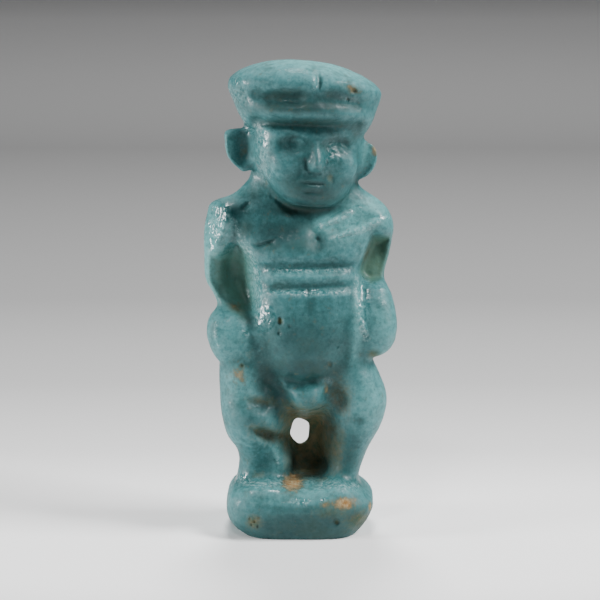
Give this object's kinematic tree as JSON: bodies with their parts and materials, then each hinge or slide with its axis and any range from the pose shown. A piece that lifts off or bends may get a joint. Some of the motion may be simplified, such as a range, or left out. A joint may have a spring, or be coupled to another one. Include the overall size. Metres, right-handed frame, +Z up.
{
  "type": "faience amulet",
  "caption": "Small glazed faience amulet: a stocky standing figure with a broad flat cap, arms bent with fists on the hips and bowed legs, in one piece with its rounded base.",
  "frame": {"origin": "centre of the flat underside of the base", "axes": "+Z up along the standing figure, -Y the way the figure faces, +X to the right of a viewer in front of it"},
  "size_m": [0.0131, 0.0079, 0.0323],
  "materials": {
    "glaze": "glossy turquoise glaze, worn and pitted, with brown earth in the hollows"
  },
  "bodies": {
    "root": {"amulet": "glaze"}
  },
  "joints": []
}
